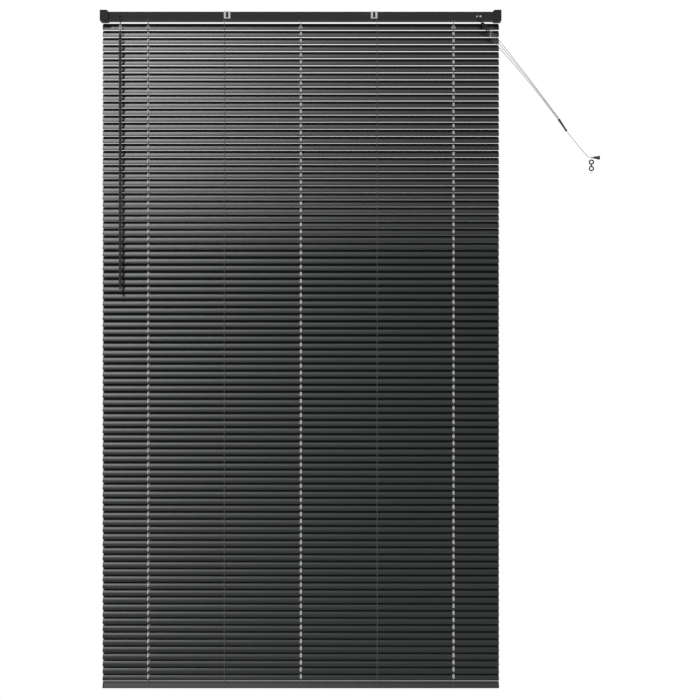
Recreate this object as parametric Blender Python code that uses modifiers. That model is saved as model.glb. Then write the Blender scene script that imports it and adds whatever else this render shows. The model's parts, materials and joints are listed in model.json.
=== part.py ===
"""A venetian blind with 25 mm slats, closed: headrail, tilter, cord lock, ladders, lift and pull cords.

X runs along the headrail, the wall is the plane Y = 0 with the front towards -Y, and Z = 0 is the top
of the end brackets. The blind has 93 slats: the eight built here are spread evenly from first to last,
and each below the first rides on a small ring that takes its share of the lift.
"""

import math

import bmesh
import bpy
from mathutils import Matrix, Vector

# Width of the blind: the slats, the bottom rail, the outer ladders and both mechanisms follow it
RAIL_LENGTH = 1.207
SLAT_INSET = 0.0035
LADDER_INSET = 0.1375
TILTER_FROM_END = 0.0599
LOCK_FROM_END = 0.0605

# Slats
SLAT_WIDTH = 0.025
SLAT_THICKNESS = 0.0008
SLAT_CROWN = 0.0018
SLAT_PITCH = 0.0214
SLAT_COUNT = 93
SLATS_BUILT = 8
TOP_SLAT_DROP = 0.047
CLOSED_TILT = math.radians(62)
SLOT_LENGTH = 0.014
SLOT_WIDTH = 0.0056
RING_RADIUS = 0.0021
RING_BORE = 0.0011
RING_HEIGHT = 0.001

# Headrail and its brackets
RAIL_SIDE = 0.025
RAIL_WALL = 0.0008
RAIL_LIP = 0.003
RAIL_DROP = 0.005
BRACKET_WIDTH = 0.026
BRACKET_WALL = 0.002
BRACKET_CHAMFER = 0.005
DOOR_ROOM = 0.0022
DOOR_THICKNESS = 0.0017
DOOR_GAP = 0.0006
SEAT_GAP = 0.0005
SCREW_HOLE_RADIUS = 0.0022
SCREW_HEIGHTS = (0.3, 0.7)
NOTCH_DEPTH = 0.007
STEM_NOTCH = 0.012
SNOUT_NOTCH = 0.0065
NOTCH_ROOM = 0.0026
CLIP_OFFSET = 0.222
CLIP_WIDTH = 0.0197
CLIP_HEIGHT = 0.0221
CLIP_THICKNESS = 0.0012
CLIP_SLOT = (0.0073, 0.0167)

# Ladders, lift cords and tilt rod
LADDER_ROOM = 0.001332
LADDER_RADIUS = 0.00045
CORD_RADIUS = 0.0007
CORD_LANE_STEP = 0.0018
ROD_RADIUS = 0.0032
ROD_END_ROOM = 0.012
ROD_BELOW_RAIL_TOP = 0.012
DRUM_LENGTH = 0.012
CRADLE_LENGTH = 0.024
CRADLE_PLATE = 0.0016
SEAT_CLEARANCE = 0.0005
POST_THICKNESS = 0.002
POST_DEPTH = 0.012

# Tilter and wand
TILTER_WALL = 0.0015
GEAR_TEETH = 16
GEAR_RADIUS = 0.0052
GEAR_TOOTH = 0.001
GEAR_WIDTH = 0.005
TOOTH_SHARE = 0.3
WORM_RADIUS = 0.0024
WORM_LENGTH = 0.009
WORM_THREADS = 5
WORM_SLANT = math.radians(20)
STEM_RADIUS = 0.0016
STEM_END_DROP = 0.045
LINK_LENGTH = 0.016
LINK_WIRE = 0.0009
WAND_RADIUS = 0.004
WAND_LENGTH = 0.78
WAND_CAP_LENGTH = 0.014
WAND_TOP_SHARE = 0.45
WAND_CAP_SHARE = 1.1

# Bottom rail
FOOT_WIDTH = 0.0205
FOOT_HEIGHT = 0.0075
FOOT_WALL = 0.001
FOOT_BELOW_SLATS = 0.0246
CAP_THICKNESS = 0.0015
CAP_PLUG = 0.006
KNOT_RADIUS = 0.0022

# Cord lock, pull cords and what is on them
LOCK_LENGTH = 0.028
LOCK_SNOUT = 0.014
SNOUT_REACH = 0.0105
SNOUT_DROP = 0.0045
MOUTH_REACH = 0.007
MOUTH_DROP = 0.0055
PAWL_RADIUS = 0.0025
PAWL_LENGTH = 0.014
CORD_SPACING = 0.003
JOINER_RADIUS = 0.0045
JOINER_SPACING = 0.0021
TASSEL_LENGTH = 0.026
TASSEL_RADIUS = 0.0065
TASSEL_TIP_RADIUS = 0.0022
CLEAT_ASIDE = 0.3395
CLEAT_DROP = 0.4119
CLEAT_RING = 0.0062
CLEAT_STROKE = 0.002
CLEAT_RING_STEP = 0.0194

GAP = 0.0003

# Sizes and places that follow from those above
SLAT_LENGTH = RAIL_LENGTH - 2 * SLAT_INSET
LADDER_HALF = SLAT_WIDTH / 2 * math.cos(CLOSED_TILT) + LADDER_ROOM
FOOT_LENGTH = SLAT_LENGTH
LADDER_SPACING = (SLAT_LENGTH / 2 - LADDER_INSET) / 2
TILTER_X = TILTER_FROM_END - RAIL_LENGTH / 2
LOCK_X = RAIL_LENGTH / 2 - LOCK_FROM_END
AXIS_Y = -BRACKET_WALL - SEAT_GAP - RAIL_SIDE / 2
RAIL_BOTTOM = -RAIL_DROP - RAIL_SIDE
RAIL_FRONT = AXIS_Y - RAIL_SIDE / 2
BRACKET_HEIGHT = RAIL_DROP + RAIL_SIDE + SEAT_GAP + BRACKET_WALL
BRACKET_DEPTH = BRACKET_WALL + SEAT_GAP + RAIL_SIDE + DOOR_ROOM
BRACKET_END = RAIL_LENGTH / 2 + SEAT_GAP + BRACKET_WALL
ROD_Z = -RAIL_DROP - ROD_BELOW_RAIL_TOP
FOOT_Z = -TOP_SLAT_DROP - (SLAT_COUNT - 1) * SLAT_PITCH - FOOT_BELOW_SLATS
LADDERS = [step * LADDER_SPACING for step in (-2, -1, 0, 1, 2)]
LIFT_CORDS = [-2 * LADDER_SPACING, 0.0, 2 * LADDER_SPACING]
LANE_Y = RAIL_FRONT + RAIL_WALL + 0.0004 + CORD_RADIUS
LANE_Z = RAIL_BOTTOM + RAIL_WALL + CRADLE_PLATE + 0.0005 + CORD_RADIUS
DRUM_RADIUS = LADDER_HALF - LADDER_RADIUS - GAP

# Routes of the free cords, from the cord lock to the cleat, with all points counted from the lock's mouth
LOCK_MOUTH = Vector((LOCK_X, RAIL_FRONT - MOUTH_REACH, RAIL_BOTTOM - MOUTH_DROP))
PULL_ROUTES = (
    ((0, 0, 0), (0.030, 0.0003, -0.0285), (0.057, 0.0010, -0.0595), (0.147, 0.0055, -0.1725)),
    ((0, 0, 0), (0.029, 0.0003, -0.0355), (0.057, 0.0010, -0.0695), (0.147, 0.0055, -0.1775)),
    ((0, 0, 0), (0.028, 0.0003, -0.0425), (0.057, 0.0010, -0.0805), (0.147, 0.0055, -0.1835)),
)
JOINER_START = LOCK_MOUTH + Vector((0.236, 0.0100, -0.2925))
JOINER_END = LOCK_MOUTH + Vector((0.2615, 0.0130, -0.3295))
TAIL_ROUTE = ((0.286, 0.0155, -0.3590), (0.310, 0.0175, -0.3870), (0.327, 0.0187, -0.4045))
TASSEL_START = LOCK_MOUTH + Vector((0.3365, 0.0190, -0.4075))
CLEAT_X = LOCK_MOUTH.x + CLEAT_ASIDE
CLEAT_TOP = LOCK_MOUTH.z - CLEAT_DROP


def new_collection(name):
    made = bpy.data.collections.new(name)
    bpy.context.scene.collection.children.link(made)
    return made


def new_material(name, colour, roughness, metallic=0.0):
    made = bpy.data.materials.new(name)
    made.use_nodes = True
    shader = made.node_tree.nodes["Principled BSDF"]
    shader.inputs["Base Color"].default_value = (*colour, 1.0)
    shader.inputs["Roughness"].default_value = roughness
    shader.inputs["Metallic"].default_value = metallic
    return made


def add_object(name, data, material, location=(0, 0, 0), rotation=(0, 0, 0)):
    made = bpy.data.objects.new(name, data)
    made.location = location
    made.rotation_euler = rotation
    if material is None:
        CUTTERS.objects.link(made)
        made.hide_render = True
        made.display_type = "WIRE"
    else:
        PARTS.objects.link(made)
        made.data.materials.append(material)
    return made


def mesh_from(bm, name):
    bmesh.ops.recalc_face_normals(bm, faces=bm.faces)
    mesh = bpy.data.meshes.new(name)
    bm.to_mesh(mesh)
    bm.free()
    return mesh


def box(name, low, high, material=None, origin=(0, 0, 0), rotation=(0, 0, 0)):
    """A box between two corners, which are counted from origin."""
    low, high = Vector(low), Vector(high)
    bm = bmesh.new()
    bmesh.ops.create_cube(bm, size=1)
    bmesh.ops.scale(bm, vec=high - low, verts=bm.verts)
    bmesh.ops.translate(bm, vec=(low + high) / 2, verts=bm.verts)
    return add_object(name, mesh_from(bm, name), material, origin, rotation)


def rod(name, start, end, radius, material=None, end_radius=None, sides=24, origin=(0, 0, 0)):
    """A cylinder or cone from start to end, which are counted from origin."""
    start, end = Vector(start), Vector(end)
    bm = bmesh.new()
    bmesh.ops.create_cone(
        bm,
        cap_ends=True,
        segments=sides,
        radius1=radius,
        radius2=radius if end_radius is None else end_radius,
        depth=(end - start).length,
    )
    turn = (end - start).to_track_quat("Z", "Y").to_matrix().to_4x4()
    bmesh.ops.transform(bm, matrix=Matrix.Translation((start + end) / 2) @ turn, verts=bm.verts)
    made = add_object(name, mesh_from(bm, name), material, origin)
    made.data.shade_smooth()
    made.data.set_sharp_from_angle(angle=math.radians(40))
    return made


def tube(name, points, radius, material, cyclic=False):
    """A round wire or cord along the points."""
    curve = bpy.data.curves.new(name, "CURVE")
    curve.dimensions = "3D"
    curve.bevel_depth = radius
    curve.bevel_resolution = 2
    curve.use_fill_caps = not cyclic
    spline = curve.splines.new("POLY")
    spline.points.add(len(points) - 1)
    for point, place in zip(spline.points, points):
        point.co = (*place, 1.0)
    spline.use_cyclic_u = cyclic
    return add_object(name, curve, material)


def turned(name, profile, sides, material, origin):
    """A solid turned about its own Z axis from a profile of (radius, height), top to bottom."""
    bm = bmesh.new()
    points = [bm.verts.new((radius, 0, height)) for radius, height in profile]
    for upper, lower in zip(points, points[1:]):
        bm.edges.new((upper, lower))
    mesh = bpy.data.meshes.new(name)
    bm.to_mesh(mesh)
    bm.free()
    made = add_object(name, mesh, material, origin)
    screw = made.modifiers.new("Screw", "SCREW")
    screw.steps = sides
    screw.render_steps = sides
    screw.use_merge_vertices = True
    screw.merge_threshold = 0.00001
    return made


def boolean(target, tool, operation):
    modifier = target.modifiers.new(tool.name, "BOOLEAN")
    modifier.operation = operation
    modifier.object = tool
    return target


def subtract(target, *tools):
    for tool in tools:
        boolean(target, tool, "DIFFERENCE")
    return target


def unite(target, *tools):
    for tool in tools:
        boolean(target, tool, "UNION")
    return target


def bevel(target, width, segments=2):
    modifier = target.modifiers.new("Bevel", "BEVEL")
    modifier.width = width
    modifier.segments = segments
    modifier.limit_method = "ANGLE"
    return target


def smooth_path(points, steps):
    """Points on a smooth curve through the given ones, steps to each stretch."""
    points = [Vector(point) for point in points]
    ends = [2 * points[0] - points[1], *points, 2 * points[-1] - points[-2]]
    path = []
    for before, start, end, after in zip(ends, ends[1:], ends[2:], ends[3:]):
        for step in range(steps):
            t = step / steps
            pull = (end - before) / 2
            push = (after - start) / 2
            path.append(
                (2 * t**3 - 3 * t**2 + 1) * start
                + (t**3 - 2 * t**2 + t) * pull
                + (3 * t**2 - 2 * t**3) * end
                + (t**3 - t**2) * push
            )
    return [*path, points[-1]]


def evaluated_mesh(made, name):
    """The object's mesh with its modifiers applied; the object is removed."""
    bpy.context.view_layer.update()
    seen = made.evaluated_get(bpy.context.evaluated_depsgraph_get())
    mesh = bpy.data.meshes.new_from_object(seen)
    mesh.name = name
    bpy.data.objects.remove(made)
    return mesh


def slat_mesh():
    """A crowned strip with a slot for each lift cord; its width runs along Y and its crown along +Z."""
    steps = 8
    bm = bmesh.new()
    rows = []
    for step in range(steps + 1):
        across = -SLAT_WIDTH / 2 + SLAT_WIDTH * step / steps
        height = SLAT_CROWN * (2 / 3 - (2 * across / SLAT_WIDTH) ** 2)
        rows.append([bm.verts.new((side * SLAT_LENGTH / 2, across, height)) for side in (-1, 1)])
    for near, far in zip(rows, rows[1:]):
        bm.faces.new((near[0], near[1], far[1], far[0]))
    slat = add_object("slat_pattern", mesh_from(bm, "slat_pattern"), MATTE_BLACK)
    shell = slat.modifiers.new("Solidify", "SOLIDIFY")
    shell.thickness = SLAT_THICKNESS
    shell.offset = 0
    for number, x in enumerate(LIFT_CORDS):
        half = (SLOT_WIDTH / 2, SLOT_LENGTH / 2, 4 * SLAT_CROWN)
        low = Vector((x, 0, 0)) - Vector(half)
        high = Vector((x, 0, 0)) + Vector(half)
        subtract(slat, box(f"slat_slot_cutter_{number}", low, high))
    return evaluated_mesh(slat, "slat")


def slat_height(index):
    return -TOP_SLAT_DROP - index * SLAT_PITCH


def make_slats():
    mesh = slat_mesh()
    ring = None
    for number in range(SLATS_BUILT):
        index = round(number * (SLAT_COUNT - 1) / (SLATS_BUILT - 1))
        place = (0, AXIS_Y, slat_height(index))
        add_object(f"slat_{index:02d}", mesh, MATTE_BLACK, place, (CLOSED_TILT, 0, 0))
        if index:
            ring = ring or ring_mesh()
            add_object(f"slat_carrier_{index:02d}", ring, CORD_GREY, place)


def ring_mesh():
    """The ring that carries a slat: it sits in the middle slot, round the lift cord."""
    ring = rod("ring_pattern", (0, 0, -RING_HEIGHT / 2), (0, 0, RING_HEIGHT / 2), RING_RADIUS, CORD_GREY)
    bore = rod("ring_bore_cutter", (0, 0, -RING_HEIGHT), (0, 0, RING_HEIGHT), RING_BORE, sides=16)
    return evaluated_mesh(subtract(ring, bore), "slat_carrier")


def make_headrail():
    """A channel with an open top between two inward lips."""
    half = RAIL_LENGTH / 2
    top = -RAIL_DROP
    back = RAIL_FRONT + RAIL_SIDE
    rail = box("headrail", (-half, RAIL_FRONT, RAIL_BOTTOM), (half, back, top), MATTE_BLACK)
    inner_low = (-half - 0.01, RAIL_FRONT + RAIL_WALL, RAIL_BOTTOM + RAIL_WALL)
    inner_high = (half + 0.01, back - RAIL_WALL, top - RAIL_WALL)
    mouth_low = (-half - 0.01, RAIL_FRONT + RAIL_LIP, top - 2 * RAIL_WALL)
    mouth_high = (half + 0.01, back - RAIL_LIP, top + 0.01)
    subtract(
        rail,
        box("headrail_inner_cutter", inner_low, inner_high),
        box("headrail_mouth_cutter", mouth_low, mouth_high),
    )
    below = RAIL_BOTTOM - 0.01
    for number, x in enumerate(LADDERS):
        reach = LADDER_HALF + 3 * LADDER_RADIUS
        low = (x - 0.004, AXIS_Y - reach, below)
        high = (x + 0.004, AXIS_Y + reach, RAIL_BOTTOM + 2 * RAIL_WALL)
        subtract(rail, box(f"headrail_ladder_cutter_{number}", low, high))
    notches = (
        ("stem", TILTER_X, WORM_RADIUS + NOTCH_ROOM, STEM_NOTCH),
        ("snout", LOCK_X, LOCK_SNOUT / 2 + SEAT_GAP, SNOUT_NOTCH),
    )
    for name, x, half_width, height in notches:
        low = (x - half_width, RAIL_FRONT - 0.01, below)
        high = (x + half_width, RAIL_FRONT + NOTCH_DEPTH, RAIL_BOTTOM + height)
        subtract(rail, box(f"headrail_{name}_cutter", low, high))


def corner_cutter(name, x, z):
    """A square bar set on edge along a corner, so that it takes off a chamfer."""
    half = BRACKET_CHAMFER / math.sqrt(2)
    reach = BRACKET_DEPTH
    place = (x, -BRACKET_DEPTH / 2, z)
    return box(name, (-half, -reach, -half), (half, reach, half), None, place, (0, math.pi / 4, 0))


def make_bracket(name, side):
    """An open box that the headrail's end slides into, closed in front by a hinged door."""
    inner = side * (BRACKET_END - BRACKET_WIDTH)
    outer = side * BRACKET_END
    left, right = min(inner, outer), max(inner, outer)
    bracket = box(f"{name}_bracket", (left, -BRACKET_DEPTH, -BRACKET_HEIGHT), (right, 0, 0), MATTE_BLACK)
    bevel(bracket, 0.0006)
    cavity_left = left - 0.01 if side > 0 else left + BRACKET_WALL
    cavity_right = right - BRACKET_WALL if side > 0 else right + 0.01
    low = (cavity_left, -BRACKET_DEPTH - 0.01, -BRACKET_HEIGHT + BRACKET_WALL)
    high = (cavity_right, -BRACKET_WALL, -BRACKET_WALL)
    corners = [corner_cutter(f"{name}_upper_corner", inner, 0)]
    corners.append(corner_cutter(f"{name}_lower_corner", inner, -BRACKET_HEIGHT))
    subtract(bracket, box(f"{name}_bracket_cutter", low, high), *corners)
    middle = (left + right) / 2
    for number, height in enumerate(SCREW_HEIGHTS):
        z = -height * BRACKET_HEIGHT
        hole = rod(f"{name}_screw_cutter_{number}", (middle, -0.01, z), (middle, 0.01, z), SCREW_HOLE_RADIUS)
        subtract(bracket, hole)
    hinge = (middle, -BRACKET_DEPTH - DOOR_GAP - DOOR_THICKNESS / 2, -BRACKET_HEIGHT + DOOR_THICKNESS / 2)
    half = (BRACKET_WIDTH / 2, DOOR_THICKNESS / 2)
    low = (-half[0], -half[1], -DOOR_THICKNESS / 2)
    high = (half[0], half[1], BRACKET_HEIGHT - DOOR_THICKNESS / 2)
    door = bevel(box(f"{name}_bracket_door", low, high, MATTE_BLACK, hinge), 0.0004)
    subtract(door, *corners)


def make_clip(name, x):
    """A pale plate with a slot, hooked over the headrail's top."""
    face = RAIL_FRONT - GAP
    top = -RAIL_DROP + GAP + CLIP_THICKNESS
    half = CLIP_WIDTH / 2
    plate_low = (x - half, face - CLIP_THICKNESS, top - CLIP_HEIGHT)
    clip = box(f"{name}_clip", plate_low, (x + half, face, top), CLIP_GREY)
    hook_low = (x - half, face - CLIP_THICKNESS / 2, top - CLIP_THICKNESS)
    unite(clip, box(f"{name}_clip_hook", hook_low, (x + half, AXIS_Y, top)))
    middle = top - CLIP_HEIGHT / 2
    wide, tall = CLIP_SLOT
    low = (x - wide / 2, face - 0.01, middle - tall / 2)
    high = (x + wide / 2, face + 0.001, middle + tall / 2)
    subtract(clip, box(f"{name}_clip_cutter", low, high))


def make_tilt_rod():
    left = TILTER_X - ROD_END_ROOM
    right = LOCK_X - LOCK_LENGTH / 2 - ROD_END_ROOM
    rod("tilt_rod", (left, 0, 0), (right, 0, 0), ROD_RADIUS, STEEL, sides=6, origin=(0, AXIS_Y, ROD_Z))
    for number, x in enumerate(LADDERS):
        make_drum(number + 1, x)
        make_cradle(number + 1, x)
        make_ladder(number + 1, x)


def make_drum(number, x):
    """The drum that a ladder hangs over; the tilt rod runs through it."""
    half = DRUM_LENGTH / 2
    place = (x, AXIS_Y, ROD_Z)
    drum = rod(f"ladder_drum_{number}", (-half, 0, 0), (half, 0, 0), DRUM_RADIUS, WHITE_NYLON, origin=place)
    reach = half + 0.001
    bore = rod(f"drum_bore_{number}", (-reach, 0, 0), (reach, 0, 0), ROD_RADIUS + GAP, sides=24, origin=place)
    subtract(drum, bore)


def make_cradle(number, x):
    """The saddle under a drum: a slotted plate on the headrail's floor and two posts that hold the rod."""
    floor = RAIL_BOTTOM + RAIL_WALL + GAP
    half = CRADLE_LENGTH / 2
    front = LANE_Y + CORD_RADIUS + GAP
    back = RAIL_FRONT + RAIL_SIDE - RAIL_WALL - GAP
    plate_high = (x + half, back, floor + CRADLE_PLATE)
    cradle = box(f"cradle_{number}", (x - half, front, floor), plate_high, WHITE_NYLON)
    for side in (-1, 1):
        near = x + side * (DRUM_LENGTH / 2 + GAP)
        far = near + side * POST_THICKNESS
        low = (min(near, far), AXIS_Y - POST_DEPTH / 2, floor + CRADLE_PLATE / 2)
        high = (max(near, far), AXIS_Y + POST_DEPTH / 2, ROD_Z + ROD_RADIUS)
        unite(cradle, box(f"cradle_post_{number}_{side + 1}", low, high))
    seat = ROD_RADIUS + SEAT_CLEARANCE
    ends = (x - half - 0.001, x + half + 0.001)
    subtract(
        cradle,
        rod(f"cradle_seat_{number}", (ends[0], AXIS_Y, ROD_Z), (ends[1], AXIS_Y, ROD_Z), seat),
        box(
            f"cradle_mouth_{number}",
            (ends[0], AXIS_Y - seat, ROD_Z),
            (ends[1], AXIS_Y + seat, ROD_Z + 0.01),
        ),
        box(
            f"cradle_slot_{number}",
            (x - 0.002, AXIS_Y - LADDER_HALF - 2 * LADDER_RADIUS, floor - 0.001),
            (x + 0.002, AXIS_Y + LADDER_HALF + 2 * LADDER_RADIUS, floor + CRADLE_PLATE + 0.001),
        ),
    )


def foot_surface(across):
    """How far above the bottom rail's axis its surface lies, at a distance behind the axis, when closed."""
    sine, cosine = math.sin(CLOSED_TILT), math.cos(CLOSED_TILT)
    face = (FOOT_HEIGHT / 2 + across * sine) / cosine
    end = (FOOT_WIDTH / 2 - across * cosine) / sine
    return min(face, end)


def make_ladder(number, x):
    """One string, down in front of the slats and down behind them, over the drum between."""
    clear = LADDER_RADIUS + GAP
    front_end = FOOT_Z + foot_surface(-LADDER_HALF + LADDER_RADIUS) + 3 * clear
    back_end = FOOT_Z + foot_surface(LADDER_HALF - LADDER_RADIUS) + clear
    turns = 12
    arc = [math.pi * step / turns for step in range(turns + 1)]
    over = [(x, AXIS_Y - LADDER_HALF * math.cos(a), ROD_Z + LADDER_HALF * math.sin(a)) for a in arc]
    ends = ((x, AXIS_Y - LADDER_HALF, front_end), (x, AXIS_Y + LADDER_HALF, back_end))
    tube(f"ladder_{number}", [ends[0], *over, ends[1]], LADDER_RADIUS, CORD_DARK)


def make_lift_cord(number, x):
    """From just above the bottom rail up through the slats, then along the headrail to the cord lock."""
    lane = LANE_Z + (len(LIFT_CORDS) - number) * CORD_LANE_STEP
    bottom = FOOT_Z + foot_surface(0) + 2 * CORD_RADIUS + GAP
    turn = (
        (x, AXIS_Y, RAIL_BOTTOM + RAIL_WALL + CRADLE_PLATE),
        (x + 0.0006, AXIS_Y - 0.0006, LANE_Z + 0.0002),
        (x + 0.004, AXIS_Y - 0.0055, LANE_Z + 0.0006),
        (x + 0.0075, LANE_Y + 0.0015, (LANE_Z + lane) / 2),
        (x + 0.013, LANE_Y, lane),
        (x + 0.020, LANE_Y, lane),
    )
    points = [Vector((x, AXIS_Y, bottom)), *smooth_path(turn, 3)]
    end = LOCK_X - LOCK_LENGTH / 2 - GAP
    tube(f"lift_cord_{number}", [*points, Vector((end, LANE_Y, lane))], CORD_RADIUS, CORD_GREY)


def make_tilter():
    """A worm on a slanted stem beside a toothed wheel on the tilt rod, in an open housing."""
    along = Vector((0, -math.sin(WORM_SLANT), -math.cos(WORM_SLANT)))
    outward = Vector((0, -math.cos(WORM_SLANT), math.sin(WORM_SLANT)))
    centre = Vector((TILTER_X, AXIS_Y, ROD_Z))
    worm = centre + outward * (GEAR_RADIUS + WORM_RADIUS + GEAR_TOOTH / 2 + GAP)
    half = GEAR_WIDTH / 2
    root = GEAR_RADIUS - GEAR_TOOTH / 2
    gear = rod("tilter_gear", (-half, 0, 0), (half, 0, 0), root, WHITE_NYLON, origin=centre)
    width = TOOTH_SHARE * 2 * math.pi * GEAR_RADIUS / GEAR_TEETH
    for tooth in range(GEAR_TEETH):
        low = (-half, -width / 2, GEAR_RADIUS - 2 * GEAR_TOOTH)
        high = (half, width / 2, GEAR_RADIUS + GEAR_TOOTH / 2)
        turn = (2 * math.pi * tooth / GEAR_TEETH, 0, 0)
        unite(gear, box(f"gear_tooth_{tooth:02d}", low, high, None, centre, turn))
    reach = half + 0.001
    bore = rod("gear_bore", (-reach, 0, 0), (reach, 0, 0), ROD_RADIUS + GAP, origin=centre)
    subtract(gear, bore)

    stem_end = (STEM_END_DROP + worm.z) / -along.z * along
    stem_top = -along * WORM_LENGTH / 2
    shaft = rod("tilter_worm", stem_top, stem_end, STEM_RADIUS, MATTE_BLACK, sides=16, origin=worm)
    for thread in range(WORM_THREADS):
        place = along * WORM_LENGTH * ((thread + 0.5) / WORM_THREADS - 0.5)
        rim = along * WORM_LENGTH / WORM_THREADS / 4
        ridge = rod(f"worm_thread_{thread}", place - rim, place + rim, WORM_RADIUS, sides=20, origin=worm)
        unite(shaft, ridge)

    half = GEAR_WIDTH / 2 + GAP + TILTER_WALL
    floor = RAIL_BOTTOM + RAIL_WALL + GAP
    front = RAIL_FRONT + RAIL_WALL + GAP
    back = RAIL_FRONT + RAIL_SIDE - RAIL_WALL - GAP
    top = -RAIL_DROP - RAIL_WALL - GAP
    low = (TILTER_X - half, front, floor)
    housing = box("tilter_housing", low, (TILTER_X + half, back, top), MATTE_BLACK)
    room = half - TILTER_WALL
    subtract(
        housing,
        box(
            "tilter_room_cutter",
            (TILTER_X - room, front - 0.01, floor - 0.01),
            (TILTER_X + room, back - TILTER_WALL, top + 0.01),
        ),
        rod(
            "tilter_rod_cutter",
            (TILTER_X - 0.02, AXIS_Y, ROD_Z),
            (TILTER_X + 0.02, AXIS_Y, ROD_Z),
            ROD_RADIUS + SEAT_CLEARANCE,
        ),
    )
    return worm + stem_end


def make_wand(stem_end):
    """A wire link on the stem's end and the wand that hangs from it."""
    top = stem_end + Vector((0, 0, -GAP - LINK_WIRE))
    half = LINK_WIRE * 2.4
    low = LINK_LENGTH - 2 * LINK_WIRE
    turns = 8
    upper = [math.pi * step / turns for step in range(turns + 1)]
    outline = [(half * math.cos(a), half * math.sin(a) - half) for a in upper]
    outline += [(-x, -z - low) for x, z in outline]
    link = tube("wand_link", [(x, 0, z) for x, z in outline], LINK_WIRE, CLIP_GREY, True)
    link.location = top
    head = top + Vector((0, 0, -low - 2 * LINK_WIRE - GAP))
    profile = (
        (0, 0),
        (WAND_TOP_SHARE, 0),
        (WAND_CAP_SHARE, -WAND_CAP_LENGTH),
        (1, -WAND_CAP_LENGTH),
        (1, -WAND_LENGTH),
        (0, -WAND_LENGTH),
    )
    turned("wand", [(WAND_RADIUS * share, z) for share, z in profile], 6, MATTE_BLACK, head)


def make_bottom_rail():
    """A hollow bar with a cap in each end, tilted as the slats are; the lift cord's knot is inside it."""
    axis = (0, AXIS_Y, FOOT_Z)
    turn = (CLOSED_TILT, 0, 0)
    half = Vector((FOOT_LENGTH / 2 - CAP_THICKNESS - GAP, FOOT_WIDTH / 2, FOOT_HEIGHT / 2))
    rail = bevel(box("bottom_rail", -half, half, MATTE_BLACK, axis, turn), 0.0012, 3)
    inner = half - Vector((-0.01, FOOT_WALL, FOOT_WALL))
    subtract(rail, box("bottom_rail_cutter", -inner, inner, None, axis, turn))
    for name, side in (("left", -1), ("right", 1)):
        near = side * (FOOT_LENGTH / 2 - CAP_THICKNESS)
        far = side * FOOT_LENGTH / 2
        low = (min(near, far), -half.y, -half.z)
        high = (max(near, far), half.y, half.z)
        cap = bevel(box(f"{name}_rail_cap", low, high, MATTE_BLACK, axis, turn), 0.0004)
        plug = near - side * CAP_PLUG
        fit = inner - Vector((0, GAP, GAP))
        low = (min(plug, far - side * 0.0005), -fit.y, -fit.z)
        high = (max(plug, far - side * 0.0005), fit.y, fit.z)
        unite(cap, box(f"{name}_cap_plug", low, high, None, axis, turn))
    bm = bmesh.new()
    bmesh.ops.create_uvsphere(bm, u_segments=16, v_segments=10, radius=KNOT_RADIUS)
    add_object("lift_cord_knot", mesh_from(bm, "lift_cord_knot"), CORD_GREY, axis)


def make_cord_lock():
    """The lock's body in the headrail, its snout below, and the roller that grips the cords."""
    half = LOCK_LENGTH / 2
    floor = RAIL_BOTTOM + RAIL_WALL + GAP
    front = RAIL_FRONT + RAIL_WALL + GAP
    back = RAIL_FRONT + RAIL_SIDE - RAIL_WALL - GAP
    top = -RAIL_DROP - RAIL_WALL - GAP
    lock = box("cord_lock", (LOCK_X - half, front, floor), (LOCK_X + half, back, top), MATTE_BLACK)
    snout_back = RAIL_FRONT + NOTCH_DEPTH - SEAT_GAP
    snout_low = (LOCK_X - LOCK_SNOUT / 2, RAIL_FRONT - SNOUT_REACH, RAIL_BOTTOM - SNOUT_DROP)
    snout_high = (LOCK_X + LOCK_SNOUT / 2, snout_back, RAIL_BOTTOM + SNOUT_NOTCH - SEAT_GAP)
    unite(lock, box("lock_snout", snout_low, snout_high))
    room = (PAWL_LENGTH / 2 + 0.001, PAWL_RADIUS + 0.003)
    low = (LOCK_X - room[0], AXIS_Y - room[1], ROD_Z - 0.005)
    high = (LOCK_X + room[0], AXIS_Y + room[1], top + 0.01)
    subtract(lock, box("lock_room_cutter", low, high))
    rod(
        "lock_roller",
        (-PAWL_LENGTH / 2, 0, -0.0008),
        (PAWL_LENGTH / 2, 0, -0.0008),
        PAWL_RADIUS,
        STEEL,
        sides=12,
        origin=(LOCK_X, AXIS_Y, ROD_Z + 0.001),
    )


def make_pull_cords():
    """Three cords from the lock to a joiner, one on to the tassel, and the cleat that it is parked on."""
    along = (JOINER_END - JOINER_START).normalized()
    across = along.cross(Vector((0, 1, 0))).normalized()
    if across.x < 0:
        across = -across
    for number, route in enumerate(PULL_ROUTES):
        offset = Vector(((1 - number) * CORD_SPACING, 0, 0))
        inlet = JOINER_START - along * (GAP + CORD_RADIUS) + across * (1 - number) * JOINER_SPACING
        start = LOCK_MOUTH + Vector(route[0]) + offset
        points = [start, *(LOCK_MOUTH + Vector(point) for point in route[1:]), inlet]
        tube(f"pull_cord_{number + 1}", smooth_path(points, 8), CORD_RADIUS, CORD_GREY)
    rod("cord_joiner", JOINER_START, JOINER_END, JOINER_RADIUS, MATTE_BLACK, 0.6 * JOINER_RADIUS)
    start = JOINER_END + along * (GAP + CORD_RADIUS)
    end = TASSEL_START - Vector((GAP + CORD_RADIUS, 0, 0))
    route = [LOCK_MOUTH + Vector(point) for point in TAIL_ROUTE]
    tube("tail_cord", smooth_path([start, *route, end], 6), CORD_RADIUS, CORD_GREY)
    far = TASSEL_START + Vector((TASSEL_LENGTH, 0, -0.001))
    rod("tassel", TASSEL_START, far, TASSEL_TIP_RADIUS, MATTE_BLACK, TASSEL_RADIUS)


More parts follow.
